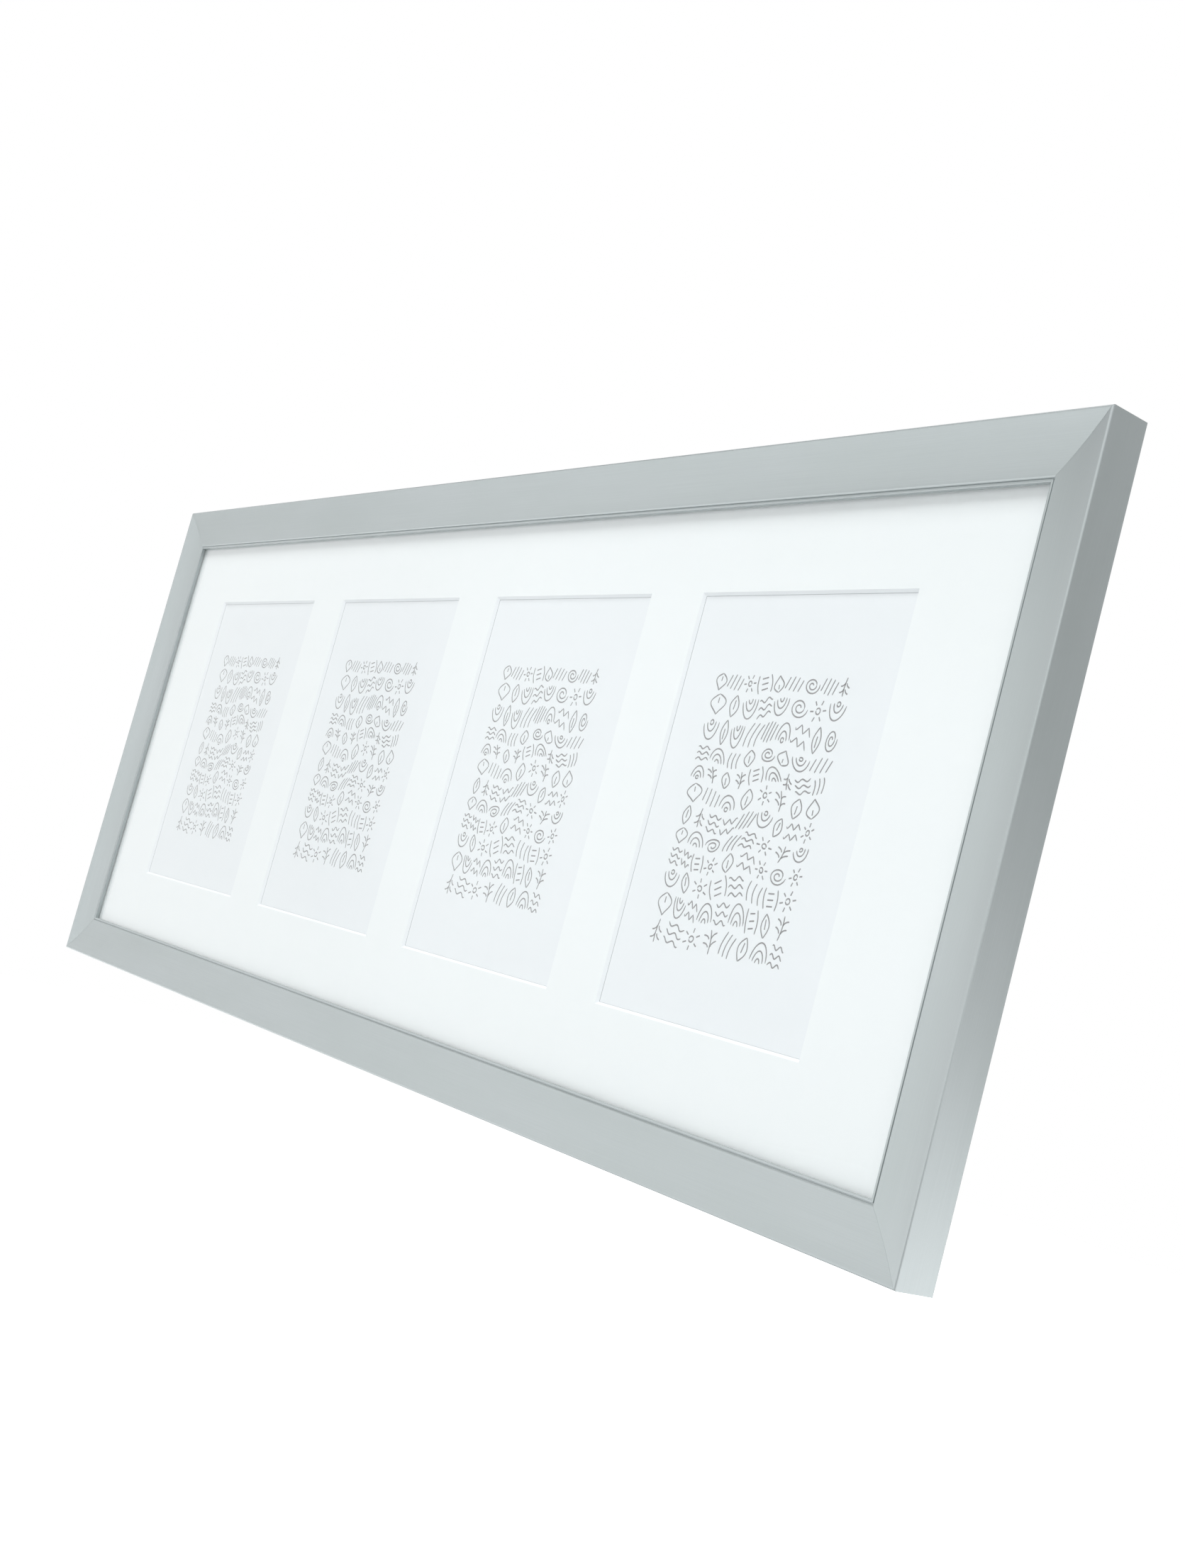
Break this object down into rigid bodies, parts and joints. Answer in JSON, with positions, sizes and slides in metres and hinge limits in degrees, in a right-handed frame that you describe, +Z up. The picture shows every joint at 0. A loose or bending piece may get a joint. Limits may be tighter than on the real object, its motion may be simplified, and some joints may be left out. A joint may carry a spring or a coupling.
{
  "type": "collage photo frame",
  "caption": "Wide wall frame with satin silver mitred rails, clear glass and a white mat with a row of upright bevelled windows; turn buttons and hanging rings at the back.",
  "frame": {"origin": "middle of the bottom edge face, half way through the moulding's depth", "axes": "+X to the viewer's right along the width, +Y back towards the wall, +Z up"},
  "size_m": [0.85, 0.0232, 0.32],
  "materials": {
    "silver_moulding": "satin silver lacquer on a wood core",
    "clear_glass": "clear float glass",
    "white_mat": "matt white board, white core",
    "print_paper": "smooth cool white paper with a fine grey line pattern",
    "filler_core": "light filler board",
    "hardboard": "smooth brown hardboard",
    "nail_steel": "bare steel",
    "screw_steel": "zinc plated",
    "zinc_steel": "zinc plated sheet and wire",
    "bumper_rubber": "soft matt rubber"
  },
  "bodies": {
    "frame": {"rail_top": "silver_moulding", "rail_bottom": "silver_moulding", "rail_left": "silver_moulding", "rail_right": "silver_moulding", "corner_v_nails": "nail_steel", "glass_pane": "clear_glass", "mat_board": "white_mat", "insert_print_1": "print_paper", "insert_print_2": "print_paper", "insert_print_3": "print_paper", "insert_print_4": "print_paper", "filler_board": "filler_core", "back_panel": "hardboard", "turn_button_screws": "screw_steel", "hanger_plate_left": "zinc_steel", "hanger_plate_right": "zinc_steel", "hanger_screws": "screw_steel", "wall_bumpers": "bumper_rubber"},
    "turn_button_top_1": {"turn_button_top_1": "zinc_steel"},
    "turn_button_bottom_1": {"turn_button_bottom_1": "zinc_steel"},
    "turn_button_top_2": {"turn_button_top_2": "zinc_steel"},
    "turn_button_bottom_2": {"turn_button_bottom_2": "zinc_steel"},
    "turn_button_top_3": {"turn_button_top_3": "zinc_steel"},
    "turn_button_bottom_3": {"turn_button_bottom_3": "zinc_steel"},
    "turn_button_left": {"turn_button_left": "zinc_steel"},
    "turn_button_right": {"turn_button_right": "zinc_steel"},
    "hanger_ring_left": {"hanger_ring_left": "zinc_steel"},
    "hanger_ring_right": {"hanger_ring_right": "zinc_steel"}
  },
  "joints": [
    {"name": "turn_button_top_1_swivel", "type": "hinge", "parent": "frame", "child": "turn_button_top_1", "pos_m": [-0.28, 0.01025, 0.31025], "axis": [0, 1, 0], "range_deg": [-90, 90]},
    {"name": "turn_button_bottom_1_swivel", "type": "hinge", "parent": "frame", "child": "turn_button_bottom_1", "pos_m": [-0.28, 0.01025, 0.00975], "axis": [0, 1, 0], "range_deg": [-90, 90]},
    {"name": "turn_button_top_2_swivel", "type": "hinge", "parent": "frame", "child": "turn_button_top_2", "pos_m": [0, 0.01025, 0.31025], "axis": [0, 1, 0], "range_deg": [-90, 90]},
    {"name": "turn_button_bottom_2_swivel", "type": "hinge", "parent": "frame", "child": "turn_button_bottom_2", "pos_m": [0, 0.01025, 0.00975], "axis": [0, 1, 0], "range_deg": [-90, 90]},
    {"name": "turn_button_top_3_swivel", "type": "hinge", "parent": "frame", "child": "turn_button_top_3", "pos_m": [0.28, 0.01025, 0.31025], "axis": [0, 1, 0], "range_deg": [-90, 90]},
    {"name": "turn_button_bottom_3_swivel", "type": "hinge", "parent": "frame", "child": "turn_button_bottom_3", "pos_m": [0.28, 0.01025, 0.00975], "axis": [0, 1, 0], "range_deg": [-90, 90]},
    {"name": "turn_button_left_swivel", "type": "hinge", "parent": "frame", "child": "turn_button_left", "pos_m": [-0.41525, 0.01025, 0.16], "axis": [0, 1, 0], "range_deg": [-90, 90]},
    {"name": "turn_button_right_swivel", "type": "hinge", "parent": "frame", "child": "turn_button_right", "pos_m": [0.41525, 0.01025, 0.16], "axis": [0, 1, 0], "range_deg": [-90, 90]},
    {"name": "hanger_ring_left_swing", "type": "hinge", "parent": "frame", "child": "hanger_ring_left", "pos_m": [-0.413, 0.01173, 0.26], "axis": [1, 0, 0], "range_deg": [0, 180]},
    {"name": "hanger_ring_right_swing", "type": "hinge", "parent": "frame", "child": "hanger_ring_right", "pos_m": [0.413, 0.01173, 0.26], "axis": [1, 0, 0], "range_deg": [0, 180]}
  ]
}
